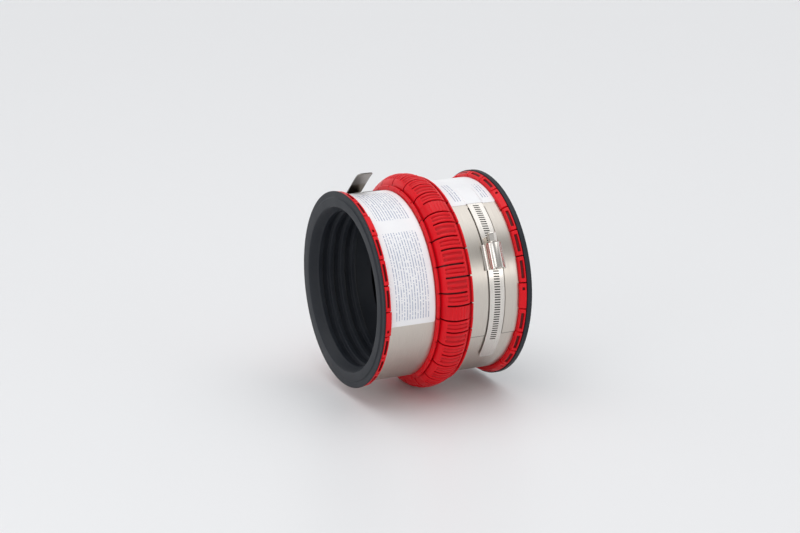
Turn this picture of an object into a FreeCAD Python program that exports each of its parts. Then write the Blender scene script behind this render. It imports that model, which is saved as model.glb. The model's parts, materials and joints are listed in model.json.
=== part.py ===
# Flexible pipe coupling: a rubber sleeve in an expanding plastic cage, drawn down on two
# pipes of different outside diameter by a steel band clamp at each end.
# Millimetres. X is the pipe axis, with the narrow pipe's end at -X. Z is up, and the
# origin is on the axis, in the middle of the cage's centre ring.
# An angle t is measured around the axis: 0 faces -Y, 90 faces +Z and 180 faces +Y.
import FreeCAD
import Part
import math
import os
from FreeCAD import Vector

os.makedirs("parts", exist_ok=True)

AXIS = Vector(1, 0, 0)
ORIGIN = Vector(0, 0, 0)

# Thicknesses and clearances
sheet = 0.8                 # thickness of the bands and housings
slide_gap = 0.3             # between a fixed band and the fork plate that slides on it
seat_gap = 0.1              # between pieces that lie on each other and do not move

# The middle ring of the cage
ring_half = 18.2            # middle to the outer face of a rim
rim_width = 2.2
hump_foot = 14.4            # middle to the foot of the hump
hump_shoulder = 9.8
hump_crest = 111.1
hump_wall = 3.0
finger_thickness = 2.0
groove_drop = 1.6           # rim top to the bottom of the groove beside it
crest_drop = (3.0, 2.3)     # crest to the hump's left and right shoulders
wall_shoulder = 0.72        # share of the hump's inner half width where its shoulders are
wall_drop = (3.2, 2.6)      # inner crest to the inner left and right shoulders
ring_clearance = 0.4        # ring to the pieces beside it

# The cage is six equal segments, each with four tiles on either side
segments = 6
segment_turn = 360.0 / segments
tiles = 4
tile_turn = segment_turn / tiles
tile_gap = 0.6              # degrees
slot_turn = 0.56            # degrees
segment_start = -6.6        # t of the first joint between two segments
left_tile_start = 1.8
right_tile_start = -6.5
right_slot_start = 1.6      # slots open to the right rim
left_slot_start = -6.6      # slots open to the left rim
slot_right_root = -11.0     # x where a slot open to the right ends
slot_left_root = 10.0       # x where a slot open to the left ends
leg_end = 60.0              # middle to the end of the slot between a finger's two legs
recess_width = 2.0
recess_turn = 9.8
recess_depth = 1.6
latch_width = 2.4
latch_turn = 1.4
latch_offset = 3.3          # degrees from the tile's end to the latch window
latch_lip = 0.8             # how far a latch tile reaches over the band
latch_lip_lift = 1.5        # band's outer face to the underside of that lip

# Clamp parts that are the same on both sides
strap_half = 8.25
strap_thickness = 0.9
strap_lift = 1.15           # band's outer face to the strap's inner face
strap_slot_half = 3.0
strap_slot_offset = 0.7
strap_slot_width = 1.1
strap_pitch = 2.63
weld_turn = 16.0            # degrees of strap welded on the fork plate
weld_radius = 1.6
weld_rows = 3
weld_columns = 2
weld_spacing = 8.0
fork_slot_half = 9.7
fork_tail_turn = 95.0       # housing to the far edge of the fork plate, degrees
band_gap_turn = 4.0         # half the gap between the fixed band's two ends, degrees
tip_corner = 5.0
tip_run = 4.0

# Worm housing, drawn with its screw along Y on top of the band
wall_inner = 8.45
wall_outer = 9.25
wing_half = 11.6
wing_lift = 1.45
shoulder_lift = 2.4
barrel_foot = 3.5
barrel_spring = 5.1
barrel_outer = 8.3
barrel_inner = 7.4
housing_half = 13.0
end_wall = 1.1
end_wall_overlap = 0.3      # how far an end wall runs into the barrel
saddle_half_turn = 7.0
saddle_lift = 0.05          # weld gap between the saddle and the fixed band
worm_lift = 7.1
worm_radius = 4.9
worm_core = 3.9
worm_half = 11.4
worm_crest_share = 0.42     # share of the thread's pitch taken by its crest
neck_radius = 3.2
journal_radius = 2.6
bearing_gap = 0.05
collar_radius = 5.0
collar_start = 13.3
head_start = 14.6
head_end = 23.4
head_flats = 8.0
driver_slot_width = 1.3
driver_slot_depth = 2.2
journal_end = 0.6           # how far the journal stands out of the housing


# One side of the coupling: the radii of its pipe and of what is stacked on it.
def side_sizes(direction, pipe, band_outer, band_edge, tile_near, tile_far, tile_top, rim_top,
               lip_top, lip_near, lip_far, lip_round, ribs):
    finger_top = band_outer - sheet - seat_gap
    return {
        "direction": direction,
        "pipe": pipe,
        "band_outer": band_outer,
        "band_edge": band_edge,
        "tile_near": tile_near,
        "tile_far": tile_far,
        "tile_top": tile_top,
        "rim_top": rim_top,
        "lip_top": lip_top,
        "lip_near": lip_near,
        "lip_far": lip_far,
        "lip_round": lip_round,
        "ribs": ribs,
        "finger_top": finger_top,
        "finger_base": finger_top - finger_thickness,
        "rubber_top": finger_top - finger_thickness - seat_gap,
    }


left = side_sizes(-1, 80.0, 95.6, 68.7, 69.1, 75.0, 100.6, 100.6, 100.8, 75.4,
                  78.0, 0.6, (29.0, 41.5, 54.0, 66.5))
right = side_sizes(1, 86.3, 98.8, 72.2, 72.6, 78.2, 106.1, 106.6, 106.9, 78.6,
                   85.0, 1.2, (32.0, 46.0, 60.0, 74.0))

# Where each clamp lies: the strap's middle, and angles around the axis
left_clamp = {"middle": -48.5, "housing": 165.0, "fork_end": 110.0, "fork_root": 195.5,
              "tail": 112.0, "band_gap": 204.0, "slots_end": 114.0}
right_clamp = {"middle": 47.3, "housing": 25.25, "fork_end": -22.5, "fork_root": 59.0,
               "tail": -41.0, "band_gap": 86.0, "slots_end": -26.0}

# The left strap's tail is bent away from the band
tail_bend_radius = 12.0
tail_bend_turn = 21.0
tail_straight = 25.0
tail_curl_radius = 60.0
tail_curl_turn = 14.0

# Labels
label_thickness = 0.15
label_lift = 0.05
left_label = {"near": 19.5, "far": 68.2, "low": -8.8, "high": 105.0}
right_label = {"near": 19.2, "far": 71.6, "low": 61.0, "high": 117.0}

# Rubber sleeve
rib_half = 2.0
rib_height = 3.4
rib_slope = 1.6
fold_wall_gap = 0.4
fold_wall = 6.0
mouth_rise = 1.0            # bore's rise from the last rib to the mouth's bevel
mouth_face_rise = 5.0       # pipe's radius to the inner edge of the lip's face
lip_rim = 7.0               # lip's top to the step in its face
face_step = 1.0             # how far the face stands out inside that step
lip_chamfer = 0.6
round_middle = 0.29         # a quarter round's middle, as a share of its radius from the corner
fold_shoulder = 0.68        # share of the fold's half width where its shoulders are
fold_drop = (3.4, 3.0)      # fold's crest to its left and right shoulders
fold_inner_drop = (1.8, 1.6)


def point(x, r):
    return Vector(x, -r, 0)


# A closed face in the plane t = 0. A vertex is (x, r). An arc is (mid x, mid r, x, r).
def profile(outline):
    edges = []
    here = point(outline[0][0], outline[0][1])
    for vertex in list(outline[1:]) + [outline[0]]:
        there = point(vertex[-2], vertex[-1])
        if len(vertex) == 4:
            edges.append(Part.Arc(here, point(vertex[0], vertex[1]), there).toShape())
        else:
            edges.append(Part.LineSegment(here, there).toShape())
        here = there
    return Part.Face(Part.Wire(edges))


# A profile carried around the axis from t = low to t = high.
def sector(outline, low, high):
    face = profile(outline)
    face.rotate(ORIGIN, AXIS, -high)
    return face.revolve(ORIGIN, AXIS, high - low)


def ring(outline):
    return profile(outline).revolve(ORIGIN, AXIS, 360)


def block_outline(x_low, x_high, r_low, r_high):
    return [(x_low, r_low), (x_high, r_low), (x_high, r_high), (x_low, r_high)]


def block(x_low, x_high, r_low, r_high, low, high):
    return sector(block_outline(x_low, x_high, r_low, r_high), low, high)


# A block that may be on either side: x is given as a distance from the middle.
def side_block(side, near, far, r_low, r_high, low, high):
    ends = sorted((side["direction"] * near, side["direction"] * far))
    return block(ends[0], ends[1], r_low, r_high, low, high)


# Turns a shape that was drawn on top of the coupling to the angle t.
def turn_to(shape, t):
    shape.rotate(ORIGIN, AXIS, 90 - t)
    return shape


# Degrees of arc for a length laid around a radius.
def degrees_of(length, radius):
    return math.degrees(length / radius)


def export(shape, node):
    clean = shape.removeSplitter()
    clean.exportStep("parts/" + node + ".step")
    print(node, round(clean.Volume), len(clean.Solids), clean.isValid())


# The sleeve's outline on one side, from the fold outwards along the outer face, over the
# lip and back along the ribbed bore.
def sleeve_side(side):
    sign = side["direction"]
    top = side["rubber_top"]
    pipe = side["pipe"]
    bore = pipe + rib_height
    face = side["lip_far"]
    rim = face - face_step
    edge = side["lip_round"]
    middle = edge * round_middle
    step = side["lip_top"] - lip_rim
    ribs = side["ribs"]
    outline = [
        (ring_half, top),
        (side["lip_near"], top),
        (side["lip_near"], side["lip_top"] - lip_chamfer),
        (side["lip_near"] + lip_chamfer, side["lip_top"]),
        (rim - edge, side["lip_top"]),
        (rim - middle, side["lip_top"] - middle, rim, side["lip_top"] - edge),
        (rim, step + face_step),
        (face, step),
        (face, pipe + mouth_face_rise),
        (ribs[-1] + rib_half + rib_slope, pipe + mouth_rise),
        (ribs[-1] + rib_half, pipe),
    ]
    for place in reversed(ribs):
        if place != ribs[-1]:
            outline.append((place + rib_half + rib_slope, bore))
            outline.append((place + rib_half, pipe))
        outline.append((place - rib_half, pipe))
        outline.append((place - rib_half - rib_slope, bore))
    outline.append((ring_half, bore))
    return [tuple(sign * value if i % 2 == 0 else value for i, value in enumerate(vertex))
            for vertex in outline]


def rubber_sleeve():
    crest = hump_crest - hump_wall - fold_wall_gap
    left_side = sleeve_side(left)
    right_side = sleeve_side(right)
    left_top = left["rubber_top"]
    right_top = right["rubber_top"]
    left_bore = left["pipe"] + rib_height
    right_bore = right["pipe"] + rib_height
    foot = hump_foot - hump_wall - fold_wall_gap
    shoulder = fold_shoulder
    outline = [(-foot, left_top)]
    outline.append((-foot * shoulder, crest - fold_drop[0], 0, crest))
    outline.append((foot * shoulder, crest - fold_drop[1], foot, right_top))
    outline.extend(right_side)
    inner = foot - fold_wall
    outline.append((inner, right_bore))
    under = crest - fold_wall
    outline.append((inner * shoulder, under - fold_inner_drop[1], 0, under))
    outline.append((-inner * shoulder, under - fold_inner_drop[0], -inner, left_bore))
    outline.extend(reversed_outline(left_side))
    return ring(outline)


# Walks a list of vertices backwards, keeping each arc between the same two ends.
def reversed_outline(outline):
    ends = [vertex[-2:] for vertex in outline]
    turned = [ends[-1]]
    for i in range(len(outline) - 1, 0, -1):
        turned.append(outline[i][:2] + ends[i - 1] if len(outline[i]) == 4 else ends[i - 1])
    return turned


# The middle ring's section with the right fingers and tiles: rims, grooves and the hump.
def ring_outline():
    left_groove = left["rim_top"] - groove_drop
    right_groove = right["rim_top"] - groove_drop
    rim = ring_half - rim_width
    wall = hump_foot - hump_wall
    under = hump_crest - hump_wall
    return [
        (-ring_half, left["finger_base"]),
        (-wall, left["finger_base"]),
        (-wall * wall_shoulder, under - wall_drop[0], 0, under),
        (wall * wall_shoulder, under - wall_drop[1], wall, right["finger_base"]),
        (right["tile_far"], right["finger_base"]),
        (right["tile_far"], right["tile_top"]),
        (right["tile_near"], right["tile_top"]),
        (right["tile_near"], right["finger_top"]),
        (ring_half, right["finger_top"]),
        (ring_half, right["rim_top"]),
        (rim, right["rim_top"]),
        (rim, right_groove),
        (hump_foot, right_groove),
        (hump_shoulder, hump_crest - crest_drop[1], 0, hump_crest),
        (-hump_shoulder, hump_crest - crest_drop[0], -hump_foot, left_groove),
        (-rim, left_groove),
        (-rim, left["rim_top"]),
        (-ring_half, left["rim_top"]),
    ]


def left_finger_outline(near):
    return [
        (-left["tile_far"], left["finger_base"]),
        (-near, left["finger_base"]),
        (-near, left["finger_top"]),
        (-left["tile_near"], left["finger_top"]),
        (-left["tile_near"], left["tile_top"]),
        (-left["tile_far"], left["tile_top"]),
    ]


# A long recess in a plain tile, or the small window and lip of a latch tile.
def tile_recess(side, start):
    middle = (side["tile_near"] + side["tile_far"]) / 2
    return side_block(side, middle - recess_width / 2, middle + recess_width / 2,
                      side["tile_top"] - recess_depth, side["tile_top"] + 1,
                      start + (tile_turn - recess_turn) / 2, start + (tile_turn + recess_turn) / 2)


def latch_window(side, t):
    middle = (side["tile_near"] + side["tile_far"]) / 2
    return side_block(side, middle - latch_width / 2, middle + latch_width / 2,
                      side["tile_top"] - recess_depth, side["tile_top"] + 1,
                      t - latch_turn / 2, t + latch_turn / 2)


def latch_tile_lip(side, start):
    return side_block(side, side["tile_near"] - latch_lip, side["tile_near"] + latch_lip,
                      side["band_outer"] + latch_lip_lift, side["tile_top"],
                      start + tile_gap / 2, start + tile_turn - tile_gap / 2)


# One sixth of the cage. Its slots open by turns to the right and to the left, so that the
# ring can widen and close. Each slot runs on between the two legs of a finger.
def cage_segment():
    base = min(left["finger_base"], right["finger_base"]) - 1
    top = hump_crest + 1
    start = segment_start + slot_turn / 2
    end = segment_start + segment_turn - slot_turn / 2
    body = sector(ring_outline(), start, end)
    held = sector(left_finger_outline(ring_half), left_tile_start + tile_gap / 2, end)
    free = sector(left_finger_outline(ring_half + ring_clearance), end - 0.5,
                  left_tile_start + segment_turn - tile_gap / 2)
    body = body.fuse([held, free,
                      latch_tile_lip(right, right_tile_start),
                      latch_tile_lip(left, left_tile_start + 3 * tile_turn)])
    cuts = []
    for i in range(tiles):
        opening = right_slot_start + i * tile_turn
        cuts.append(block(slot_right_root, leg_end, base, top,
                          opening - slot_turn / 2, opening + slot_turn / 2))
        if i > 0:
            opening = left_slot_start + i * tile_turn
            cuts.append(block(-leg_end, slot_left_root, base, top,
                              opening - slot_turn / 2, opening + slot_turn / 2))
            gap = right_tile_start + i * tile_turn
            cuts.append(block(ring_half, right["tile_far"] + 1, base, top,
                              gap - tile_gap / 2, gap + tile_gap / 2))
            gap = left_tile_start + i * tile_turn
            cuts.append(block(-left["tile_far"] - 1, -ring_half, base, top,
                              gap - tile_gap / 2, gap + tile_gap / 2))
            cuts.append(tile_recess(right, right_tile_start + i * tile_turn))
        if i < tiles - 1:
            cuts.append(tile_recess(left, left_tile_start + i * tile_turn))
    cuts.append(latch_window(right, right_tile_start + tile_turn - latch_offset))
    cuts.append(latch_window(left, left_tile_start + 3 * tile_turn + latch_offset))
    return body.cut(cuts)


# The wide inner band: one wrap around the cage with a small gap between its ends.
def fixed_band(side, clamp):
    return side_block(side, ring_half + ring_clearance, side["band_edge"],
                      side["band_outer"] - sheet, side["band_outer"],
                      clamp["band_gap"] + band_gap_turn,
                      clamp["band_gap"] + 360 - band_gap_turn)


# Where the spot welds between the strap and the fork plate are: (x, t) pairs.
def weld_places(clamp):
    places = []
    for row in range(weld_rows):
        for column in range(weld_columns):
            x = clamp["middle"] + weld_spacing * (column - (weld_columns - 1) / 2)
            t = clamp["fork_root"] + weld_turn * (row + 1) / (weld_rows + 1)
            places.append((x, t))
    return places


def weld_cylinder(side, x, t, radius, low, high):
    shape = Part.makeCylinder(radius, high - low, Vector(x, 0, side["band_outer"] + low), Vector(0, 0, 1))
    return turn_to(shape, t)


# The outer end of the wide band: two tines, one on each side of the strap and the housing.
def fork_plate(side, clamp):
    inner = side["band_outer"] + slide_gap
    outer = inner + sheet
    plate = side_block(side, ring_half + ring_clearance, side["band_edge"], inner, outer,
                       clamp["fork_end"], clamp["housing"] + fork_tail_turn)
    middle = clamp["middle"]
    cuts = [block(middle - fork_slot_half, middle + fork_slot_half, inner - 1, outer + 1,
                  clamp["fork_end"] - 1, clamp["fork_root"])]
    for x, t in weld_places(clamp):
        cuts.append(weld_cylinder(side, x, t, weld_radius + bearing_gap, -1, 4))
    return plate.cut(cuts)


def strap_welds(side, clamp):
    nuggets = [weld_cylinder(side, x, t, weld_radius, slide_gap + 0.1, strap_lift + strap_thickness - 0.05)
               for x, t in weld_places(clamp)]
    return Part.makeCompound(nuggets)


# The two corners cut off a strap's end, drawn with the end at the origin and the strap
# running away along +Y.
def tip_corners(middle):
    cuts = []
    for sign in (-1, 1):
        edge = strap_half + 1
        inside = strap_half - tip_corner
        corners = [Vector(middle + sign * edge, -1, 0), Vector(middle + sign * edge, tip_run, 0),
                   Vector(middle + sign * inside, -1, 0)]
        face = Part.Face(Part.makePolygon(corners + [corners[0]]))
        face.translate(Vector(0, 0, -3))
        cuts.append(face.extrude(Vector(0, 0, 6)))
    return cuts


# The slotted worm strap, where it lies around the band.
def strap_around(side, clamp):
    inner = side["band_outer"] + strap_lift
    outer = inner + strap_thickness
    middle = clamp["middle"]
    strap = block(middle - strap_half, middle + strap_half, inner, outer,
                  clamp["tail"], clamp["fork_root"] + weld_turn + 1)
    step = degrees_of(strap_pitch, (inner + outer) / 2)
    half = degrees_of(strap_slot_width, (inner + outer) / 2) / 2
    slot_middle = middle + strap_slot_offset
    count = int((clamp["fork_root"] - clamp["slots_end"]) / step)
    cuts = []
    for i in range(count):
        t = clamp["fork_root"] - i * step
        cuts.append(block(slot_middle - strap_slot_half, slot_middle + strap_slot_half,
                          inner - 1, outer + 1, t - half, t + half))
    for x, t in weld_places(clamp):
        cuts.append(weld_cylinder(side, x, t, weld_radius + bearing_gap, -1, 4))
    return strap.cut(cuts)


def right_strap():
    strap = strap_around(right, right_clamp)
    height = right["band_outer"] + strap_lift
    corners = []
    for corner in tip_corners(right_clamp["middle"]):
        corner.translate(Vector(0, 0, height))
        corners.append(turn_to(corner, right_clamp["tail"]))
    return strap.cut(corners)


# A point of the bent tail at the slope angle, offset from its mid line. A slope of 0 runs
# level towards -Y and 90 runs straight up.
def offset_point(place, slope, offset):
    angle = math.radians(slope)
    return place + Vector(0, math.sin(angle) * offset, math.cos(angle) * offset)


# Follows an arc from a place and slope: a positive turn climbs, a negative turn dips.
def follow_arc(place, slope, radius, turn):
    sign = 1 if turn > 0 else -1
    centre = offset_point(place, slope, sign * radius)
    return offset_point(centre, slope + turn, -sign * radius)


# One stretch of the tail, of even thickness, as a face: straight if turn is 0.
def tail_face(place, slope, radius, turn, length):
    half = strap_thickness / 2
    if turn:
        middle = follow_arc(place, slope, radius, turn / 2)
        end = follow_arc(place, slope, radius, turn)
    else:
        angle = math.radians(slope)
        end = place + Vector(0, -math.cos(angle) * length, math.sin(angle) * length)
    corners = [offset_point(place, slope, half), offset_point(end, slope + turn, half),
               offset_point(end, slope + turn, -half), offset_point(place, slope, -half)]
    edges = [Part.LineSegment(corners[1], corners[2]).toShape(),
             Part.LineSegment(corners[3], corners[0]).toShape()]
    for first, last, side in ((0, 1, half), (2, 3, -half)):
        if turn:
            between = offset_point(middle, slope + turn / 2, side)
            edges.append(Part.Arc(corners[first], between, corners[last]).toShape())
        else:
            edges.append(Part.LineSegment(corners[first], corners[last]).toShape())
    return Part.Face(Part.Wire(Part.__sortEdges__(edges))), end


# The left strap's free tail climbs away from the band, runs straight and curls over.
def left_strap():
    strap = strap_around(left, left_clamp)
    radius = left["band_outer"] + strap_lift + strap_thickness / 2
    t = math.radians(left_clamp["tail"])
    place = Vector(left_clamp["middle"] - strap_half, -radius * math.cos(t), radius * math.sin(t))
    slope = left_clamp["tail"] - 90
    stretches = ((tail_bend_radius, tail_bend_turn, 0), (0, 0, tail_straight),
                 (tail_curl_radius, -tail_curl_turn, 0))
    pieces = []
    for bend_radius, turn, length in stretches:
        face, place = tail_face(place, slope, bend_radius, turn, length)
        pieces.append(face.extrude(Vector(2 * strap_half, 0, 0)))
        slope = slope + turn
    corners = []
    for corner in tip_corners(left_clamp["middle"]):
        corner.rotate(ORIGIN, AXIS, -slope)
        corner.translate(Vector(0, place.y, place.z))
        corners.append(corner)
    return strap.fuse(pieces).cut(corners)


# The saddle is the housing's floor, welded to the fixed band in the fork plate's slot.
def saddle(side, clamp):
    middle = clamp["middle"]
    low = side["band_outer"] + saddle_lift
    return block(middle - wall_inner, middle + wall_inner, low, low + sheet,
                 clamp["housing"] - saddle_half_turn, clamp["housing"] + saddle_half_turn)


# The housing's section across the screw, as heights above the band.
def shell_outline(base):
    return [
        (wall_inner, base + seat_gap), (wall_outer, base + seat_gap),
        (wall_outer, base + wing_lift), (wing_half, base + wing_lift),
        (wing_half, base + wing_lift + sheet), (wall_outer, base + wing_lift + sheet),
        (barrel_outer, base + barrel_foot), (barrel_outer, base + barrel_spring),
        (0, base + barrel_spring + barrel_outer, -barrel_outer, base + barrel_spring),
        (-barrel_outer, base + barrel_foot), (-wall_outer, base + wing_lift + sheet),
        (-wing_half, base + wing_lift + sheet), (-wing_half, base + wing_lift),
        (-wall_outer, base + wing_lift), (-wall_outer, base + seat_gap),
        (-wall_inner, base + seat_gap), (-wall_inner, base + shoulder_lift),
        (-barrel_inner, base + barrel_foot), (-barrel_inner, base + barrel_spring),
        (0, base + barrel_spring + barrel_inner, barrel_inner, base + barrel_spring),
        (barrel_inner, base + barrel_foot), (wall_inner, base + shoulder_lift),
    ]


def end_wall_outline(base):
    inside = barrel_inner + end_wall_overlap
    return [
        (-inside, base + barrel_foot), (inside, base + barrel_foot), (inside, base + barrel_spring),
        (0, base + barrel_spring + inside, -inside, base + barrel_spring),
    ]


# Draws an outline across the coupling, x by height, and carries it along Y on the top.
def carry_along(outline, start, end):
    face = profile(outline)
    face.rotate(ORIGIN, AXIS, -90)
    face.translate(Vector(0, start, 0))
    return face.extrude(Vector(0, end - start, 0))


def cylinder_along(base, radius, start, end):
    return Part.makeCylinder(radius, end - start, Vector(0, start, base + worm_lift), Vector(0, 1, 0))


def housing(side, clamp):
    base = side["band_outer"]
    shell = carry_along(shell_outline(base), -housing_half, housing_half)
    walls = [carry_along(end_wall_outline(base), -housing_half, -housing_half + end_wall),
             carry_along(end_wall_outline(base), housing_half - end_wall, housing_half)]
    shell = shell.fuse(walls)
    shell = shell.cut([cylinder_along(base, journal_radius + bearing_gap, -housing_half - 1, 0),
                       cylinder_along(base, neck_radius + bearing_gap, 0, housing_half + 1)])
    shell.translate(Vector(clamp["middle"], 0, 0))
    return turn_to(shell, clamp["housing"])


# The worm: a journal, thread crests at the strap's pitch, a neck, a collar and a hex head.
def screw(side, clamp):
    base = side["band_outer"]
    pieces = [cylinder_along(base, journal_radius, -housing_half - journal_end, -worm_half),
              cylinder_along(base, worm_core, -worm_half, worm_half),
              cylinder_along(base, neck_radius, worm_half, head_start),
              cylinder_along(base, collar_radius, collar_start, head_start)]
    crest = strap_pitch * worm_crest_share
    count = int(2 * worm_half / strap_pitch)
    first = -(count - 1) / 2 * strap_pitch
    for i in range(count):
        place = first + i * strap_pitch
        pieces.append(cylinder_along(base, worm_radius, place - crest / 2, place + crest / 2))
    corners = []
    for i in range(7):
        angle = math.radians(60 * i + 30)
        reach = head_flats / 2 / math.cos(math.radians(30))
        corners.append(Vector(reach * math.cos(angle), head_start,
                              base + worm_lift + reach * math.sin(angle)))
    head = Part.Face(Part.makePolygon(corners)).extrude(Vector(0, head_end - head_start, 0))
    slot = Part.makeBox(2 * head_flats, driver_slot_depth, driver_slot_width,
                        Vector(-head_flats, head_end - driver_slot_depth,
                               base + worm_lift - driver_slot_width / 2))
    solid = pieces[0].fuse(pieces[1:] + [head]).cut(slot)
    solid.translate(Vector(clamp["middle"], 0, 0))
    return turn_to(solid, clamp["housing"])


def left_label_sheet():
    low = left["band_outer"] + label_lift
    return side_block(left, left_label["near"], left_label["far"], low, low + label_thickness,
                      left_label["low"], left_label["high"])


# The right label lies on the fork plate and, where the strap is welded on, over the strap.
def right_label_sheet():
    low = right["band_outer"] + slide_gap + sheet + label_lift
    high = right["band_outer"] + strap_lift + strap_thickness + label_lift
    near = right_label["near"]
    far = right_label["far"]
    step = strap_half + 0.3
    middle = right_clamp["middle"]
    strap_end = right_clamp["fork_root"] + weld_turn + 1.3
    over = [(near, low), (middle - step, low), (middle - step, high), (middle + step, high),
            (middle + step, low), (far, low), (far, low + label_thickness),
            (middle + step + label_thickness, low + label_thickness),
            (middle + step + label_thickness, high + label_thickness),
            (middle - step - label_thickness, high + label_thickness),
            (middle - step - label_thickness, low + label_thickness), (near, low + label_thickness)]
    lower = sector(over, right_label["low"], strap_end)
    upper = block(near, far, low, low + label_thickness, strap_end, right_label["high"])
    return lower.fuse(upper)


export(rubber_sleeve(), "rubber_sleeve")

first_segment = cage_segment()
for i in range(segments):
    turned = first_segment.copy()
    turned.rotate(ORIGIN, AXIS, -i * segment_turn)
    export(turned, "cage_segment_" + str(i + 1))

for name, side, clamp in (("left", left, left_clamp), ("right", right, right_clamp)):
    export(fixed_band(side, clamp), name + "_band")
    export(fork_plate(side, clamp), name + "_fork_plate")
    export(strap_welds(side, clamp), name + "_strap_welds")
    export(saddle(side, clamp), name + "_saddle")
    export(housing(side, clamp), name + "_housing")
    export(screw(side, clamp), name + "_screw")

export(left_strap(), "left_strap")
export(right_strap(), "right_strap")
export(left_label_sheet(), "left_label")
export(right_label_sheet(), "right_label")
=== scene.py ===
import json
import math
import bpy
import numpy as np
from mathutils import Matrix, Vector


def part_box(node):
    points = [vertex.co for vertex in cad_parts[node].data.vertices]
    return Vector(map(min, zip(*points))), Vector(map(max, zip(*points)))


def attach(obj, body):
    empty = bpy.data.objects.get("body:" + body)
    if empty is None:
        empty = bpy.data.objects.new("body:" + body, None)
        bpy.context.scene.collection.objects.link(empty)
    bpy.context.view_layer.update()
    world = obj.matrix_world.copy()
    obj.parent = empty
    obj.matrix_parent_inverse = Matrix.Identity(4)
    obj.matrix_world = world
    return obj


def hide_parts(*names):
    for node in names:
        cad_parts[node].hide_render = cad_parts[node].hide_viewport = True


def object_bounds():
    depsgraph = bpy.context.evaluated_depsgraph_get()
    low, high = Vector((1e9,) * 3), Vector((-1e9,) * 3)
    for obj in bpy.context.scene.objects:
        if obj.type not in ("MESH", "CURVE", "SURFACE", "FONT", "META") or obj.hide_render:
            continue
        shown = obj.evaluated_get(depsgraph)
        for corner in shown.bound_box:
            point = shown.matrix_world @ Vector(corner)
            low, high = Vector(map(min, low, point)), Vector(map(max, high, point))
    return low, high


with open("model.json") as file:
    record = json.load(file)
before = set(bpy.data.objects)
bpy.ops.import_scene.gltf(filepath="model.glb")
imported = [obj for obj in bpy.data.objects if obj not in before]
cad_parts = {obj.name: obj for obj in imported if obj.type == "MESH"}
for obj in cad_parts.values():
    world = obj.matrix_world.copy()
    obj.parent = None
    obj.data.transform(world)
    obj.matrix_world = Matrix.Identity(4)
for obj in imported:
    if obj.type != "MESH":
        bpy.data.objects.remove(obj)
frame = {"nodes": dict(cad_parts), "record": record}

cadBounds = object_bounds()
scene = bpy.context.scene
mm = 0.001

# The pipe axis is X. Lengths are millimetres and angles are degrees around the axis:
# t = 0 faces -Y, t = 90 faces +Z. A sheet is a closed skin that becomes part of a piece.


# ---- sizes that come from the frame

def boxMm(node):
    low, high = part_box(node)
    return np.array(low) / mm, np.array(high) / mm


def jointNamed(name):
    return next(j for j in frame["record"]["behaviour"]["joints"] if j["name"] == name)


# One side's band radius and edges, and where its clamp's screw lies
def readSide(name, sign):
    low, high = boxMm(name + "_band")
    edges = sorted((abs(low[0]), abs(high[0])))
    screwAt = np.array(jointNamed(name + "_screw_turn")["pos_m"]) / mm
    return {"name": name, "sign": sign, "band": high[1], "near": edges[0], "far": edges[1],
            "middle": screwAt[0], "turn": math.degrees(math.atan2(screwAt[2], -screwAt[1])),
            "screwRadius": math.hypot(screwAt[1], screwAt[2])}


leftSide = readSide("left", -1)
rightSide = readSide("right", 1)
sheetThickness = 0.8
slideGap = 0.3
strapLift = 1.15
strapThickness = 0.9
fingerGap = 0.1
fingerThickness = 2.0

leftSide.update(tileNear=69.1, tileFar=75.0, tileTop=100.6, tileRamp=1.0, rimTop=100.6, lipTop=100.8,
                lipNear=75.4, lipFar=78.0, lipRound=0.6, ribs=(29.0, 41.5, 54.0, 66.5), pipe=80.0,
                forkEnd=110.0, forkRoot=195.5, tail=112.0, bandGap=204.0, slotsEnd=114.0)
rightSide.update(tileNear=72.6, tileFar=78.2, tileTop=106.1, tileRamp=3.0, rimTop=106.6, lipTop=106.9,
                 lipNear=78.6, lipFar=85.0, lipRound=1.2, ribs=(32.0, 46.0, 60.0, 74.0), pipe=86.3,
                 forkEnd=-22.5, forkRoot=59.0, tail=-41.0, bandGap=86.0, slotsEnd=-26.0)
for side in (leftSide, rightSide):
    side["fingerTop"] = side["band"] - sheetThickness - fingerGap
    side["fingerBase"] = side["fingerTop"] - fingerThickness
    side["rubberTop"] = side["fingerBase"] - fingerGap


# ---- meshes

# A place on the ring: x along the axis, r out from it, at the angle t
def around(x, r, t):
    turn = np.radians(t)
    x, r, turn = np.broadcast_arrays(np.asarray(x, float), r, turn)
    return np.stack([x, -r * np.cos(turn), r * np.sin(turn)], axis=-1)


# Turns points drawn on top of the coupling (x, y along the band, z out) to the angle t
def turnTo(points, t):
    lean = math.radians(90 - t)
    y = points[..., 1] * math.cos(lean) - points[..., 2] * math.sin(lean)
    z = points[..., 1] * math.sin(lean) + points[..., 2] * math.cos(lean)
    return np.stack([points[..., 0], y, z], axis=-1)


# A smooth step from 0 to 1 as value goes from low to high
def ease(value, low, high):
    share = np.clip((value - low) / (high - low), 0, 1)
    return share * share * (3 - 2 * share)


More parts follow.
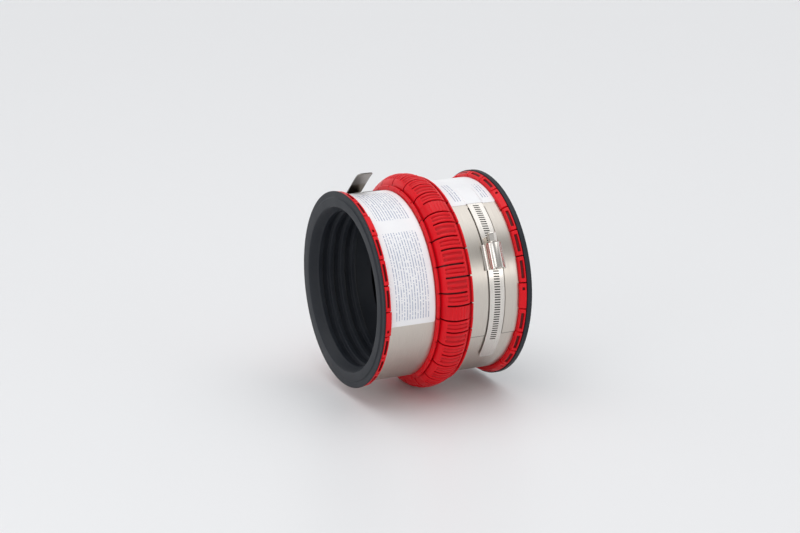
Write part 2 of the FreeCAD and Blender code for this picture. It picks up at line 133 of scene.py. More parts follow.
# A closed outline of (x, r, radius) corners, each rounded by an arc of its radius
def roundedLoop(corners, steps=5):
    points = []
    count = len(corners)
    for i in range(count):
        here = np.array(corners[i][:2], float)
        before = np.array(corners[i - 1][:2], float) - here
        after = np.array(corners[(i + 1) % count][:2], float) - here
        radius = corners[i][2]
        before = before / np.linalg.norm(before)
        after = after / np.linalg.norm(after)
        half = math.acos(np.clip(before @ after, -1, 1)) / 2
        if radius <= 0 or half > 1.56:
            points.append(here)
            continue
        reach = radius / math.tan(half)
        middle = before + after
        centre = here + middle / np.linalg.norm(middle) * radius / math.sin(half)
        first = here + before * reach - centre
        last = here + after * reach - centre
        sweep = math.pi - 2 * half
        cross = first[0] * last[1] - first[1] * last[0]
        angles = np.linspace(0, sweep if cross > 0 else -sweep, steps)
        for angle in angles:
            c, s = math.cos(angle), math.sin(angle)
            points.append(centre + np.array([first[0] * c - first[1] * s, first[0] * s + first[1] * c]))
    return np.array(points)


# Adds points along the long straight runs of a loop, so that no step is over the limit
def refinedLoop(loop, limit):
    points = []
    for i in range(len(loop)):
        here, there = loop[i], loop[(i + 1) % len(loop)]
        pieces = max(1, int(np.ceil(np.linalg.norm(there - here) / limit)))
        for share in np.arange(pieces) / pieces:
            points.append(here + (there - here) * share)
    return np.array(points)


# A loop of (x, r) carried around the axis: sections are x, -r cos t, r sin t
def carriedAround(loop, angles):
    return around(loop[None, :, 0], loop[None, :, 1], np.asarray(angles)[:, None])


# Lofted sheet: sections (n, m, 3) of closed loops, joined in order, closed or capped
def loft(sections, closed=False, depth=None, uv=None):
    n, m = sections.shape[:2]
    index = np.arange(n * m).reshape(n, m)
    here = index if closed else index[:-1]
    ahead = np.roll(index, -1, axis=0) if closed else index[1:]
    quads = np.stack([here, np.roll(here, -1, 1), np.roll(ahead, -1, 1), ahead], -1).reshape(-1, 4)
    caps = [] if closed else [index[0][::-1], index[-1]]
    return finishSheet(sections.reshape(-1, 3), quads, caps, depth, uv)


# Turns a skin right side out by the sign of the volume it encloses
def finishSheet(points, quads, caps, depth, uv):
    a, b, c, d = (points[quads[:, i]] for i in range(4))
    volume = np.sum(a * np.cross(b, c)) + np.sum(a * np.cross(c, d))
    for cap in caps:
        fan = points[cap]
        volume += np.sum(fan[0] * np.cross(fan[1:-1], fan[2:]))
    if volume < 0:
        quads = quads[:, ::-1]
        caps = [cap[::-1] for cap in caps]
    depth = np.zeros(len(points)) if depth is None else np.asarray(depth, float).ravel()
    uv = np.zeros((len(points), 2)) if uv is None else np.asarray(uv, float).reshape(-1, 2)
    return {"points": points, "quads": quads, "caps": caps, "depth": depth, "uv": uv}


# Plate with openings: an outer and an inner grid (n, m, 3) with a wall around every cell
# that is kept beside one that is not
def cutPlate(outer, inner, keep, uv, depth=None):
    n, m = outer.shape[:2]
    index = np.arange(n * m).reshape(n, m)
    corners = (index[:-1, :-1], index[:-1, 1:], index[1:, 1:], index[1:, :-1])
    quads = [np.stack([c[keep] for c in corners], -1)]
    quads.append(np.stack([c[keep] + n * m for c in corners[::-1]], -1))
    padded = np.pad(keep, 1)
    for shift, first, last in (((-1, 0), 1, 0), ((1, 0), 3, 2), ((0, -1), 0, 3), ((0, 1), 2, 1)):
        beside = padded[1 + shift[0]:n + shift[0], 1 + shift[1]:m + shift[1]]
        edge = keep & ~beside
        a, b = corners[first][edge], corners[last][edge]
        quads.append(np.stack([a, b, b + n * m, a + n * m], -1))
    quads = np.concatenate(quads)
    points = np.concatenate([outer.reshape(-1, 3), inner.reshape(-1, 3)])
    used = np.unique(quads)
    fresh = np.full(len(points), -1)
    fresh[used] = np.arange(len(used))
    bothUv = np.concatenate([uv.reshape(-1, 2)] * 2)[used]
    bothPaintedShade = None if depth is None else np.concatenate([depth.ravel()] * 2)[used]
    return finishSheet(points[used], fresh[quads], [], bothPaintedShade, bothUv)


# Joins sheets into one mesh object that stands for some nodes and rides on a body
def makePiece(name, sheets, material, body, nodes, sharpAngle=32):
    points, faces, depth, uv = [], [], [], []
    base = 0
    for sheet in sheets:
        points.append(sheet["points"])
        faces.extend((sheet["quads"] + base).tolist())
        faces.extend((cap + base).tolist() for cap in sheet["caps"])
        depth.append(sheet["depth"])
        uv.append(sheet["uv"])
        base += len(sheet["points"])
    mesh = bpy.data.meshes.new(name)
    mesh.from_pydata((np.concatenate(points) * mm).tolist(), [], faces)
    mesh.validate()
    # Each point keeps its painted shade as an attribute that the materials read
    attribute = mesh.attributes.new("depth", "FLOAT", "POINT")
    attribute.data.foreach_set("value", np.concatenate(depth).astype(np.float32))
    layer = mesh.uv_layers.new(name="sheetMap")
    corner = np.empty(len(mesh.loops), np.int32)
    mesh.loops.foreach_get("vertex_index", corner)
    layer.data.foreach_set("uv", np.concatenate(uv)[corner].astype(np.float32).ravel())
    mesh.shade_smooth()
    mesh.set_sharp_from_angle(angle=math.radians(sharpAngle))
    mesh.materials.append(material)
    piece = bpy.data.objects.new(name, mesh)
    scene.collection.objects.link(piece)
    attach(piece, body)
    if nodes:
        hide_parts(*nodes)
    return piece


# ---- materials

# A material with its shader and a short way to add and join nodes
class Finish:
    def __init__(self, name, color, roughness, metallic=0.0):
        self.material = bpy.data.materials.new(name)
        self.material.use_nodes = True
        self.tree = self.material.node_tree
        self.shader = self.tree.nodes["Principled BSDF"]
        self.shader.inputs["Base Color"].default_value = (*color, 1)
        self.shader.inputs["Roughness"].default_value = roughness
        self.shader.inputs["Metallic"].default_value = metallic

    def add(self, kind, **values):
        node = self.tree.nodes.new(kind)
        for key, value in values.items():
            setattr(node, key, value)
        return node

    def join(self, source, target):
        self.tree.links.new(source, target)

    # Object coordinates in metres, or the piece's own map in millimetres, scaled by axis
    def place(self, scale, own=False):
        coordinates = self.add("ShaderNodeTexCoord")
        mapping = self.add("ShaderNodeMapping")
        mapping.inputs["Scale"].default_value = scale
        self.join(coordinates.outputs["UV" if own else "Object"], mapping.inputs["Vector"])
        return mapping.outputs["Vector"]

    def noise(self, where, scale, detail=3.0, roughness=0.5):
        node = self.add("ShaderNodeTexNoise")
        node.inputs["Scale"].default_value = scale
        node.inputs["Detail"].default_value = detail
        node.inputs["Roughness"].default_value = roughness
        self.join(where, node.inputs["Vector"])
        return node.outputs["Fac"]

    def span(self, source, low, high, toLow, toHigh):
        node = self.add("ShaderNodeMapRange")
        for key, value in (("From Min", low), ("From Max", high), ("To Min", toLow), ("To Max", toHigh)):
            node.inputs[key].default_value = value
        self.join(source, node.inputs["Value"])
        return node.outputs["Result"]

    def math(self, operation, first, second):
        node = self.add("ShaderNodeMath", operation=operation)
        for socket, value in zip(node.inputs, (first, second)):
            if isinstance(value, (int, float)):
                socket.default_value = value
            else:
                self.join(value, socket)
        return node.outputs["Value"]

    def mix(self, share, first, second, blend="MIX"):
        node = self.add("ShaderNodeMix", data_type="RGBA", blend_type=blend)
        for key, value in ((0, share), (6, first), (7, second)):
            if isinstance(value, tuple):
                node.inputs[key].default_value = (*value, 1)
            elif isinstance(value, (int, float)):
                node.inputs[key].default_value = value
            else:
                self.join(value, node.inputs[key])
        return node.outputs[2]

    # Reads the per-point attribute that carries painted shade
    def depth(self):
        node = self.add("ShaderNodeAttribute", attribute_name="depth")
        return node.outputs["Fac"]

    def bump(self, height, strength, distance):
        node = self.add("ShaderNodeBump")
        node.inputs["Strength"].default_value = strength
        node.inputs["Distance"].default_value = distance
        self.join(height, node.inputs["Height"])
        self.join(node.outputs["Normal"], self.shader.inputs["Normal"])


# The near-black red in this table is painted shade, laid into slots, grooves and recesses
redFinish = {"color": (0.74, 0.002, 0.010), "cloud": (0.66, 0.001, 0.007), "hollowShade": (0.035, 0.001, 0.002),
             "roughness": 0.38, "shine": 0.26}
rubberFinish = {"color": (0.010, 0.013, 0.019), "bloom": (0.030, 0.034, 0.041), "roughness": 0.46,
                "shine": 0.34}
bandFinish = {"color": (0.68, 0.635, 0.575), "dull": (0.54, 0.50, 0.45), "roughness": 0.32}
brightFinish = {"color": (0.80, 0.765, 0.72), "dull": (0.60, 0.57, 0.53), "roughness": 0.20}
labelFinish = {"color": (0.88, 0.885, 0.90), "ink": (0.16, 0.21, 0.38), "roughness": 0.40}


# Moulded plastic: flow marks, fine grain, and painted shade in slots, grooves and recesses, darkest where the
# painted-shade attribute is highest
def redPlastic():
    f = Finish("redPlastic", redFinish["color"], redFinish["roughness"])
    cloud = f.noise(f.place((1, 1, 1)), 55, 4)
    grain = f.noise(f.place((1, 1, 1)), 1500, 2)
    tone = f.mix(f.span(cloud, 0.3, 0.7, 0.0, 0.35), redFinish["color"], redFinish["cloud"])
    hollowShade = f.span(f.depth(), 0.0, 1.0, 0.0, 0.94)
    f.join(f.mix(hollowShade, tone, redFinish["hollowShade"]), f.shader.inputs["Base Color"])
    f.join(f.span(cloud, 0.3, 0.7, redFinish["roughness"] - 0.05, redFinish["roughness"] + 0.08),
           f.shader.inputs["Roughness"])
    f.bump(grain, 0.10, 0.0001)
    f.shader.inputs["Specular IOR Level"].default_value = redFinish["shine"]
    return f.material


# Moulded rubber: matt skin with a light bloom and fine pitting
def blackRubber():
    f = Finish("blackRubber", rubberFinish["color"], rubberFinish["roughness"])
    cloud = f.noise(f.place((1, 1, 1)), 34, 5, 0.6)
    grain = f.noise(f.place((1, 1, 1)), 1100, 3)
    rings = f.noise(f.place((900, 24, 24)), 1, 2)
    tone = f.mix(f.span(cloud, 0.35, 0.75, 0.0, 0.45), rubberFinish["color"], rubberFinish["bloom"])
    f.join(tone, f.shader.inputs["Base Color"])
    f.join(f.span(cloud, 0.3, 0.7, 0.46, 0.60), f.shader.inputs["Roughness"])
    f.bump(f.math("ADD", grain, f.math("MULTIPLY", rings, 0.6)), 0.16, 0.00015)
    f.shader.inputs["Specular IOR Level"].default_value = rubberFinish["shine"]
    return f.material


# Rolled sheet: the brushing runs along the band, which is the map's first direction
def brushedSteel(name, look, lines, strength):
    f = Finish(name, look["color"], look["roughness"], 1.0)
    brushing = f.noise(f.place((0.05, lines, 1), own=True), 1, 4, 0.62)
    cloud = f.noise(f.place((1, 1, 1)), 30, 3)
    tone = f.mix(f.span(brushing, 0.3, 0.7, 0.0, 1.0), look["color"], look["dull"])
    # Where the painted-shade attribute is set, the steel is darkened towards near black as painted shade
    dark = f.mix(f.span(f.depth(), 0.0, 1.0, 0.0, 0.92), tone, (0.02, 0.019, 0.018))
    f.join(dark, f.shader.inputs["Base Color"])
    wear = f.math("ADD", f.math("MULTIPLY", brushing, 0.16), f.math("MULTIPLY", cloud, 0.10))
    f.join(f.math("ADD", wear, look["roughness"] - 0.12), f.shader.inputs["Roughness"])
    f.bump(brushing, strength, 0.00006)
    f.shader.inputs["Anisotropic"].default_value = 0.35
    return f.material


# White film with generic ruled bars instead of print. The map is in millimetres: the first
# direction runs along the band, the second is the distance across it from the near edge.
def labelFilm(name, columns, starts, ends, pitch):
    f = Finish(name, labelFinish["color"], labelFinish["roughness"])
    mapped = f.add("ShaderNodeSeparateXYZ")
    f.join(f.place((1, 1, 1), own=True), mapped.inputs["Vector"])
    along, across = mapped.outputs["X"], mapped.outputs["Y"]
    line = f.math("FRACT", f.math("DIVIDE", across, pitch), 0)
    stroke = f.math("MULTIPLY", f.math("GREATER_THAN", line, 0.30), f.math("LESS_THAN", line, 0.62))
    row = f.math("FLOOR", f.math("DIVIDE", across, pitch), 0)
    joined = f.add("ShaderNodeCombineXYZ")
    f.join(f.math("MULTIPLY", along, 0.62), joined.inputs["X"])
    f.join(f.math("MULTIPLY", row, 7.3), joined.inputs["Y"])
    gaps = f.noise(joined.outputs["Vector"], 1, 1)
    words = f.math("GREATER_THAN", gaps, 0.43)
    shown = 0
    for column, start, end in zip(columns, starts, ends):
        inside = f.math("MULTIPLY", f.math("GREATER_THAN", across, column[0]),
                        f.math("LESS_THAN", across, column[1]))
        run = f.math("MULTIPLY", f.math("GREATER_THAN", along, start), f.math("LESS_THAN", along, end))
        shown = f.math("MAXIMUM", shown, f.math("MULTIPLY", inside, run))
    ink = f.math("MULTIPLY", f.math("MULTIPLY", stroke, words), shown)
    sheen = f.noise(f.place((1, 1, 1)), 40, 3)
    paper = f.mix(f.span(sheen, 0.3, 0.7, 0.0, 1.0), labelFinish["color"], (0.84, 0.85, 0.87))
    f.join(f.mix(f.math("MULTIPLY", ink, 0.72), paper, labelFinish["ink"]), f.shader.inputs["Base Color"])
    f.join(f.span(sheen, 0.3, 0.7, 0.30, 0.44), f.shader.inputs["Roughness"])
    f.bump(f.noise(f.place((1, 1, 1)), 700, 2), 0.05, 0.0001)
    return f.material


red = redPlastic()
rubber = blackRubber()
bandSteel = brushedSteel("bandSteel", bandFinish, 5.0, 0.30)
brightSteel = brushedSteel("brightSteel", brightFinish, 3.0, 0.16)
leftPrint = labelFilm("leftLabelFilm", [(5, 44), (5, 42)], [6, 112], [96, 168], 2.9)
rightPrint = labelFilm("rightLabelFilm", [(8, 18), (40, 49)], [6, 8], [40, 34], 2.9)
print("materials made")


# ---- rubber sleeve

sleeve = {"ribHalf": 2.0, "ribHeight": 3.4, "ribSlope": 1.6, "mouthRise": 5.0, "lipRim": 7.0,
          "stepDepth": 1.0, "foldFoot": 11.0, "foldWall": 6.0, "foldCrest": 107.6, "foldGap": 0.4,
          "foldInset": 4.2, "boreRise": 1.0, "turns": 288}


# One end's outline as (x, r, rounding): outer wall, lip, stepped face, then the ribbed bore
def sleeveEnd(side):
    end, pipe, top = side["lipFar"], side["pipe"], side["rubberTop"]
    rim, step = end - sleeve["stepDepth"], side["lipTop"] - sleeve["lipRim"]
    bore, half, slope = pipe + sleeve["ribHeight"], sleeve["ribHalf"], sleeve["ribSlope"]
    corners = [(side["lipNear"], top, 0.4), (side["lipNear"], side["lipTop"], 0.5),
               (rim, side["lipTop"], side["lipRound"]), (rim, step + sleeve["stepDepth"], 0.4),
               (end, step, 0.5), (end, pipe + sleeve["mouthRise"], 1.4),
               (side["ribs"][-1] + half + slope, pipe + sleeve["boreRise"], 1.0)]
    for place in reversed(side["ribs"]):
        corners += [(place + half + slope, bore, 0.7)] if place != side["ribs"][-1] else []
        corners += [(place + half, pipe, 0.7), (place - half, pipe, 0.7), (place - half - slope, bore, 0.7)]
    return [(side["sign"] * x, r, rounding) for x, r, rounding in corners]


# The fold in the middle: half an ellipse over the gap between the two pipes
def foldArch(foot, crest, leftFoot, rightFoot, count):
    x = np.linspace(-foot, foot, count)
    base = np.where(x < 0, leftFoot, rightFoot)
    return [(px, pb + (crest - pb) * math.sqrt(max(0.0, 1 - (px / foot) ** 2)), 0) for px, pb in zip(x, base)]


def buildSleeve():
    leftEnd, rightEnd = sleeveEnd(leftSide), sleeveEnd(rightSide)
    outerFold = foldArch(sleeve["foldFoot"], sleeve["foldCrest"] - sleeve["foldGap"], leftSide["rubberTop"],
                         rightSide["rubberTop"], 25)
    innerFoot = sleeve["foldFoot"] - sleeve["foldInset"]
    innerFold = foldArch(innerFoot, sleeve["foldCrest"] - sleeve["foldWall"],
                         leftSide["pipe"] + sleeve["ribHeight"], rightSide["pipe"] + sleeve["ribHeight"], 21)
    loop = roundedLoop(outerFold + rightEnd + innerFold[::-1] + leftEnd[::-1])
    loop = refinedLoop(loop, 5.0)
    angles = np.arange(sleeve["turns"]) * 360 / sleeve["turns"]
    return makePiece("rubberSleeve", [loft(carriedAround(loop, angles), closed=True)], rubber,
                     "coupling", ["rubber_sleeve"])


buildSleeve()
print("sleeve made")


# ---- red cage

cage = {"segments": 6, "start": -6.6, "slotTurn": 0.56, "cutTurn": 0.84, "ringHalf": 18.2, "rimRound": 1.1,
        "rimBase": 16.0, "grooveDrop": 2.1, "humpFoot": 14.4, "crest": 111.1, "wall": 2.9, "backDrop": 1.2,
        "slotDepth": 3.6, "rightSlots": 1.6, "leftSlots": -6.6, "slotPitch": 15.0, "rightRoot": -11.0,
        "leftRoot": 10.0, "ribTurn": 1.15, "ribHalfTurn": 0.95, "recess": 1.5, "recessHalf": 11.2,
        "bossHeight": 1.1, "bossHalf": 11.4, "bossHalfTurn": 0.95, "blockLow": -6.3, "blockHigh": 1.3,
        "stripeDepth": 0.45, "stripePitch": 3.4, "stripeHalf": 9.4, "rimCut": 0.30}
tile = {"turn": 15.0, "gap": 0.6, "leftStart": 1.8, "rightStart": -6.5, "round": 0.8, "recessDepth": 1.5,
        "recessHalf": 1.25, "recessTurn": 9.8, "latchTurn": 1.5, "latchOffset": 3.3, "latchLip": 0.8}


# The middle ring's height before any ribs: a round rim, a groove, then a quarter of an
# ellipse up to the crest, on each side
def ringHeight(x):
    rimTop = np.where(x < 0, leftSide["rimTop"], rightSide["rimTop"])
    groove = rimTop - cage["grooveDrop"]
    rise = np.sqrt(np.clip(1 - (x / cage["humpFoot"]) ** 2, 0, 1))
    hump = groove + (cage["crest"] - groove) * rise
    rimMiddle = (cage["ringHalf"] + cage["rimBase"]) / 2
    fromMiddle = np.clip(np.abs(np.abs(x) - rimMiddle) / cage["rimRound"], 0, 1)
    rim = rimTop - cage["rimRound"] + cage["rimRound"] * np.sqrt(1 - fromMiddle ** 2)
    flat = np.where(np.abs(x) >= cage["rimBase"], rim, groove)
    return np.where(np.abs(x) < cage["humpFoot"], hump, flat)


# Distance in degrees to the nearest slot of one row
def toSlot(t, first):
    return np.abs((t - first + cage["slotPitch"] / 2) % cage["slotPitch"] - cage["slotPitch"] / 2)


# How far the ring's face is sunk at (x, t), and how much painted shade that place gets: a slot is darkest,
# then the grooves beside the hump and the recesses
def ringSink(x, t):
    right, left = toSlot(t, cage["rightSlots"]), toSlot(t, cage["leftSlots"])
    nearest = np.minimum(right, left)
    half = cage["cutTurn"] / 2
    rib = np.sqrt(np.clip(1 - ((nearest - cage["ribTurn"]) / cage["ribHalfTurn"]) ** 2, 0, 1))
    inside = 1 - ease(np.abs(x), cage["recessHalf"] - 1.6, cage["recessHalf"])
    sink = cage["recess"] * (1 - rib) * inside
    period = cage["slotPitch"]
    upper = (cage["rightSlots"] + cage["leftSlots"] + period) / 2
    lower = (cage["rightSlots"] + cage["leftSlots"]) / 2
    fromMiddle = np.minimum(toSlot(t, upper), toSlot(t, lower))
    boss = np.clip(1 - (x / cage["bossHalf"]) ** 6 - (fromMiddle / cage["bossHalfTurn"]) ** 2, 0, 1)
    sink = sink - cage["bossHeight"] * np.sqrt(boss)
    wrapped = (t - cage["start"]) % 60 + cage["start"]
    block = ease(wrapped, cage["blockLow"], cage["blockLow"] + 0.5)
    block = block * (1 - ease(wrapped, cage["blockHigh"] - 0.5, cage["blockHigh"]))
    stripes = np.clip(np.cos(x * 2 * math.pi / cage["stripePitch"]), 0, 1) * (np.abs(x) < cage["stripeHalf"])
    sink = sink * (1 - block) + cage["stripeDepth"] * (1 - stripes) * block
    inRight, inLeft = (1 - ease(gap, half * 0.9, half * 1.15) for gap in (right, left))
    cutRight = inRight * ease(x, cage["rightRoot"], cage["rightRoot"] + 0.8)
    cutLeft = inLeft * (1 - ease(x, cage["leftRoot"] - 0.8, cage["leftRoot"]))
    cutLeft = cutLeft * np.where(x < -cage["rimBase"], cage["rimCut"], 1.0)
    cut = np.maximum(cutRight, cutLeft)
    shade = 0.34 * np.clip(sink / cage["recess"], 0, 1)
    # The groove beside the hump is darkened as painted shade
    grooveShade = (1 - ease(np.abs(np.abs(x) - (cage["humpFoot"] + cage["rimBase"]) / 2), 0.4, 1.1)) * 0.62
    return sink * (1 - cut) + cage["slotDepth"] * cut, np.maximum(cut, np.maximum(shade, grooveShade))


# Angles for one segment: close together at each slot's walls and even between them
def ringAngles():
    low = cage["start"] + cage["slotTurn"] / 2
    high = cage["start"] + 60 - cage["slotTurn"] / 2
    pitch = cage["slotPitch"]
    centres = np.concatenate([cage["rightSlots"] + pitch * np.arange(4),
                              cage["leftSlots"] + pitch * np.arange(5)])
    half = cage["cutTurn"] / 2
    walls = (centres[:, None] + np.array([-1.15, -1.0, -0.9, 0, 0.9, 1.0, 1.15]) * half).ravel()
    even = np.arange(low, high, 0.34)
    even = even[np.abs(even[:, None] - centres[None]).min(axis=1) > half * 1.3]
    angles = np.sort(np.concatenate([walls, even, [low, high]]))
    return angles[(angles >= low) & (angles <= high)]


# The ring's section is a loop: the worked face from left to right, then the plain inside back
def ringSheet():
    half = cage["ringHalf"]
    rims = half - 1.1 + 1.1 * np.sin(np.linspace(-math.pi / 2, math.pi / 2, 9))
    inner = np.linspace(-cage["humpFoot"], cage["humpFoot"], 78)
    shoulders = cage["humpFoot"] - np.array([0.05, 0.15, 0.35])
    grooves = np.linspace(cage["humpFoot"], cage["rimBase"] - 0.02, 3)
    x = np.unique(np.concatenate([-rims, rims, inner, -shoulders, shoulders, -grooves, grooves]))
    t = ringAngles()
    sink, cut = ringSink(x[None, :], t[:, None])
    outer = around(x[None, :], ringHeight(x)[None, :] - sink, t[:, None])
    foot = cage["humpFoot"] - cage["wall"]
    back = np.linspace(half, -half, 31)
    under = np.where(back < 0, leftSide["fingerBase"], rightSide["fingerBase"])
    arch = np.sqrt(np.clip(1 - (back / foot) ** 2, 0, 1))
    under = under + (cage["crest"] - cage["wall"] - cage["backDrop"] - under) * arch
    inside = around(back[None, :], under[None, :], t[:, None])
    sections = np.concatenate([outer, inside], axis=1)
    # The second value from ringSink is painted shade: slots, grooves and recesses are darkened
    depth = np.concatenate([cut, np.zeros((len(t), len(back)))], axis=1)
    return loft(sections, depth=depth)


# A tile's section: down its near side, over the lip of a latch tile, across the worked top
# and down the far side. The ends are rounded by lowering the top, which rises to the far side.
def tileSheet(side, start, latchAt):
    low, high = start + tile["gap"] / 2, start + tile["turn"] - tile["gap"] / 2
    top, near, far = side["tileTop"], side["tileNear"], side["tileFar"]
    perDegree = top * math.pi / 180
    lip = tile["latchLip"] if latchAt is not None else 0.0
    rounding = tile["round"]
    bend = rounding * (1 - np.cos(np.linspace(0, math.pi / 2, 6)))
    ends = np.concatenate([low + bend / perDegree, np.linspace(low, high, 56)[2:-2], high - bend / perDegree])
    middleX = (near + far) / 2
    if latchAt is None:
        middleT, halfT, halfX = (low + high) / 2, tile["recessTurn"] / 2, tile["recessHalf"]
    else:
        middleT, halfT, halfX = latchAt, tile["latchTurn"] / 2, 1.1
    walls = np.array([middleT - halfT, middleT + halfT])
    t = np.unique(np.concatenate([ends, (walls[:, None] + np.array([-0.12, 0, 0.12])).ravel()]))
    x = np.unique(np.concatenate([near - lip + bend, far - bend, np.linspace(near - lip + 1, far - 1, 6),
                                  middleX + np.array([-1.18, -1.0, -0.82, 0.82, 1.0, 1.18]) * halfX]))
    toEnd = np.minimum(t - low, high - t)[:, None] * perDegree
    toEdge = np.minimum(x - (near - lip), far - x)[None, :]
    fall = np.zeros((len(t), len(x)))
    for gap in (toEnd, toEdge):
        fall = fall + rounding - np.sqrt(rounding ** 2 - np.clip(rounding - gap, 0, rounding) ** 2)
    pocket = 1 - ease(np.abs(t - middleT)[:, None], halfT - 0.1, halfT + 0.1)
    pocket = pocket * (1 - ease(np.abs(x - middleX)[None, :], halfX * 0.84, halfX * 1.16))
    ramp = side["tileRamp"] * ((far - x) / (far - near + lip))[None, :]
    height = top - ramp - np.minimum(fall, 1.4) - tile["recessDepth"] * pocket
    face = around(side["sign"] * x[None, :], height, t[:, None])
    lipBase = side["band"] + strapLift + 0.4
    foot = [(far, side["fingerBase"]), (near, side["fingerBase"]), (near, lipBase),
            (near - lip - 0.01, lipBase)]
    under = np.array(foot)
    below = around(side["sign"] * under[None, :, 0], under[None, :, 1], t[:, None])
    # The recessed pockets are darkened as painted shade
    depth = np.concatenate([pocket * 0.95, np.zeros((len(t), len(foot)))], axis=1)
    return loft(np.concatenate([face, below], axis=1), depth=depth)


# The flat finger that joins a tile to the ring, under the band
def fingerSheet(side, start):
    low, high = start + tile["gap"] / 2, start + tile["turn"] - tile["gap"] / 2
    corners = [(cage["ringHalf"] + 0.4, side["fingerBase"]), (side["tileNear"] + 0.3, side["fingerBase"]),
               (side["tileNear"] + 0.3, side["fingerTop"]), (cage["ringHalf"] + 0.4, side["fingerTop"])]
    loop = np.array(corners) * np.array([side["sign"], 1])
    return loft(carriedAround(loop, np.linspace(low, high, 9)))


def turnedSheet(sheet, degrees):
    lean = math.radians(degrees)
    points = sheet["points"]
    y = points[:, 1] * math.cos(lean) - points[:, 2] * math.sin(lean)
    z = points[:, 1] * math.sin(lean) + points[:, 2] * math.cos(lean)
    return {**sheet, "points": np.stack([points[:, 0], y, z], axis=-1)}


def buildCage():
    sheets = [ringSheet()]
    for i in range(4):
        rightStart = tile["rightStart"] + i * tile["turn"]
        leftStart = tile["leftStart"] + i * tile["turn"]
        rightLatch = rightStart + tile["turn"] - tile["latchOffset"] if i == 0 else None
        leftLatch = leftStart + tile["latchOffset"] if i == 3 else None
        sheets += [tileSheet(rightSide, rightStart, rightLatch), tileSheet(leftSide, leftStart, leftLatch),
                   fingerSheet(rightSide, rightStart), fingerSheet(leftSide, leftStart)]
    for i in range(cage["segments"]):
        number = str(i + 1)
        turned = [turnedSheet(sheet, -60 * i) for sheet in sheets]
        makePiece("cageSegment" + number, turned, red, "coupling", ["cage_segment_" + number])


buildCage()
print("cage made")


# ---- bands and fork plates

band = {"gapHalf": 4.0, "step": 1.2, "ripple": 0.05, "forkTail": 95.0, "slotHalf": 9.7, "rootRound": 3.0}


# Slow unevenness of thin sheet: a sum of a few waves around and across the band
def ripple(x, t, amount):
    turn = np.radians(t)
    wave = np.sin(3 * turn + 0.05 * x) + 0.7 * np.sin(7 * turn - 0.08 * x + 1.3)
    return amount * (wave + 0.4 * np.sin(13 * turn + 2.1)) / 2.1


# A sheet between two radii over a grid of x and t, with the map in millimetres
def bandGrid(side, x, t, inner, outer, keep, depth=None):
    grid = np.broadcast_arrays(x[None, :], t[:, None])
    uneven = ripple(grid[0], grid[1], band["ripple"])
    top = around(grid[0], outer + uneven, grid[1])
    under = around(grid[0], inner + uneven, grid[1])
    uv = np.stack([np.radians(grid[1]) * side["band"], grid[0]], axis=-1)
    return cutPlate(top, under, keep, uv, depth)


def evenly(low, high, step):
    return np.linspace(low, high, max(2, int(math.ceil((high - low) / step)) + 1))


def buildBand(side):
    x = evenly(side["near"], side["far"], 4.0) * side["sign"]
    t = evenly(side["bandGap"] + band["gapHalf"], side["bandGap"] + 360 - band["gapHalf"], band["step"])
    keep = np.ones((len(t) - 1, len(x) - 1), bool)
    sheet = bandGrid(side, np.sort(x), t, side["band"] - sheetThickness, side["band"], keep)
    name = side["name"]
    makePiece(name + "Band", [sheet], bandSteel, "coupling", [name + "_band"])


# The fork plate has one long slot for the strap and the housing, with a rounded root
def buildForkPlate(side):
    low, high = sorted((side["sign"] * side["near"], side["sign"] * side["far"]))
    slot = np.array([-band["slotHalf"], band["slotHalf"]]) + side["middle"]
    x = np.unique(np.concatenate([evenly(low, slot[0], 3.0), evenly(slot[0], slot[1], 1.2),
                                  evenly(slot[1], high, 3.0)]))
    root, end, tail = side["forkRoot"], side["forkEnd"], side["turn"] + band["forkTail"]
    t = np.unique(np.concatenate([[end + 0.3, end + 0.6], evenly(end, root - 3, 1.0),
                                  evenly(root - 3, root, 0.25), evenly(root, tail, 1.2)]))
    midX, midT = (x[1:] + x[:-1]) / 2, (t[1:] + t[:-1]) / 2
    toSide = (np.abs(midX - side["middle"]) - band["slotHalf"] + band["rootRound"])[None, :]
    rounding = band["rootRound"]
    dip = rounding - np.sqrt(np.clip(rounding ** 2 - np.clip(toSide, 0, rounding) ** 2, 0, None))
    rootLine = root - np.degrees(dip / side["band"])
    inSlot = (np.abs(midX - side["middle"]) < band["slotHalf"])[None, :] & (midT[:, None] < rootLine)
    inner = side["band"] + slideGap
    # A thin strip at the plate's end is darkened as a painted shadow line
    endShadow = (1 - ease(t, end, end + 0.6))[:, None] * np.ones(len(x))
    sheet = bandGrid(side, x, t, inner, inner + sheetThickness, ~inSlot, endShadow)
    name = side["name"]
    makePiece(name + "ForkPlate", [sheet], bandSteel, name + "_strap_set",
              [name + "_fork_plate"])


for side in (leftSide, rightSide):
    buildBand(side)
    buildForkPlate(side)
print("bands made")


# ---- worm straps

strap = {"half": 8.25, "weldTurn": 17.0, "slotHalf": 3.2, "slotOffset": 0.2, "slotWidth": 1.25, "pitch": 2.63,
         "lean": 0.09, "tipLength": 5.0, "tipWidth": 0.45, "shadeSheet": (0.30, 0.12), "tailShade": 0.6,
         "bends": ((12.0, 21.0, 0.0), (0.0, 0.0, 25.0), (60.0, -14.0, 0.0))}


